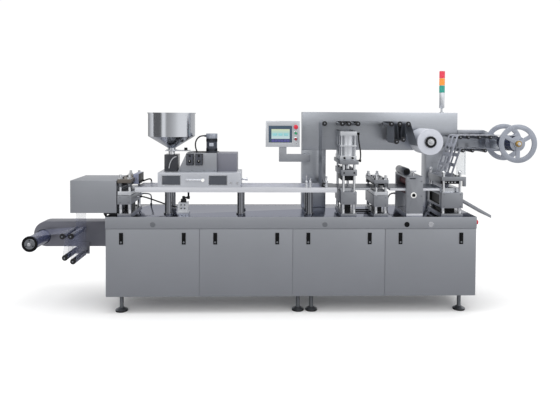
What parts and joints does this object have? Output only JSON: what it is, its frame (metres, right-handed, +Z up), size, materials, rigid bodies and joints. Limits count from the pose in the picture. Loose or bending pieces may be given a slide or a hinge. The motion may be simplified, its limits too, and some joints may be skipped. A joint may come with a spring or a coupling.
{
  "type": "blister packing machine",
  "caption": "Flat-plate blister packing machine: long cabinet with film unwind, heater, forming, pill feeder, foil gantry, sealing, creasing, traction, punching and waste winding.",
  "frame": {"origin": "middle of the footprint at floor level", "axes": "+X along the film from unwind to waste reel, +Y away from the operator, +Z up"},
  "size_m": [4.3579, 0.612, 2.048],
  "materials": {
    "cabinet_steel": "satin",
    "black_plastic": "moulded",
    "foot_steel": "satin",
    "dark_paint": "satin",
    "roller_steel": "turned",
    "black_rubber": "matt",
    "grey_hose": "matt",
    "red_rubber": "matt",
    "forming_film": "clear",
    "machined_steel": "ground",
    "aluminium": "anodised",
    "bright_steel": "polished",
    "grey_sheet": "brushed",
    "motor_black": "satin",
    "clear_acrylic": "clear",
    "red_plastic": "gloss",
    "lidding_foil": "bright",
    "chrome": "polished",
    "signal_plastic": "gloss",
    "waste_web": "satin"
  },
  "bodies": {
    "machine": {"bed": "cabinet_steel", "cabinet_body": "cabinet_steel", "front_panels": "cabinet_steel", "rear_panels": "cabinet_steel", "heater_box": "cabinet_steel", "panel_latches": "black_plastic", "speed_controllers": "black_plastic", "levelling_feet": "foot_steel", "unwind_arm": "dark_paint", "unwind_rollers": "roller_steel", "foil_rollers": "black_rubber", "waste_rollers": "black_rubber", "motor_cable": "black_rubber", "sealing_hose": "black_rubber", "forming_loop_hose": "black_rubber", "air_hose": "black_rubber", "traction_cable": "black_rubber", "forming_hose": "grey_hose", "traction_rollers": "red_rubber", "forming_film": "forming_film", "forming_base": "machined_steel", "forming_top_plate": "machined_steel", "sealing_base": "machined_steel", "sealing_top_plate": "machined_steel", "creasing_base": "machined_steel", "creasing_top_plate": "machined_steel", "traction_unit": "machined_steel", "punch_base": "machined_steel", "sealing_cylinders": "aluminium", "regulator_block": "aluminium", "feeder_track": "bright_steel", "feeder_box": "bright_steel", "hopper": "bright_steel", "hopper_gate": "bright_steel", "outfeed_chute": "bright_steel", "feeder_hood": "grey_sheet", "control_panel": "grey_sheet", "panel_arm": "grey_sheet", "gantry_left_post": "grey_sheet", "gantry_beam": "grey_sheet", "gantry_right_post": "grey_sheet", "waste_arm": "grey_sheet", "feeder_motor": "motor_black", "heater_bracket": "motor_black", "feed_chute": "clear_acrylic", "punch_guard": "clear_acrylic", "push_buttons": "red_plastic", "foil_web": "lidding_foil", "reel_shafts": "chrome", "track_posts": "chrome", "feeder_fittings": "chrome", "signal_tower": "signal_plastic", "waste_web": "waste_web"},
    "film_roll": {"film_roll": "forming_film"},
    "foil_roll": {"foil_roll": "lidding_foil"},
    "waste_reel": {"waste_reel": "bright_steel"},
    "forming_lower_die": {"forming_lower_die": "aluminium"},
    "creasing_lower_die": {"creasing_lower_die": "aluminium"},
    "sealing_platen": {"sealing_platen": "machined_steel"},
    "punch_head": {"punch_head": "machined_steel"}
  },
  "joints": [
    {"name": "film_roll_spin", "type": "hinge", "parent": "machine", "child": "film_roll", "pos_m": [-2.061, -0.085, 0.557], "axis": [0, 1, 0], "continuous": true},
    {"name": "foil_roll_spin", "type": "hinge", "parent": "machine", "child": "foil_roll", "pos_m": [1.271, -0.085, 1.416], "axis": [0, 1, 0], "continuous": true},
    {"name": "waste_reel_spin", "type": "hinge", "parent": "machine", "child": "waste_reel", "pos_m": [2.016, -0.085, 1.405], "axis": [0, 1, 0], "continuous": true},
    {"name": "forming_die_lift", "type": "slide", "parent": "machine", "child": "forming_lower_die", "axis": [0, 0, 1], "range_m": [0, 0.016]},
    {"name": "creasing_die_lift", "type": "slide", "parent": "machine", "child": "creasing_lower_die", "axis": [0, 0, 1], "range_m": [0, 0.016]},
    {"name": "sealing_platen_press", "type": "slide", "parent": "machine", "child": "sealing_platen", "axis": [0, 0, -1], "range_m": [0, 0.05]},
    {"name": "punch_press", "type": "slide", "parent": "machine", "child": "punch_head", "axis": [0, 0, -1], "range_m": [0, 0.03]}
  ]
}
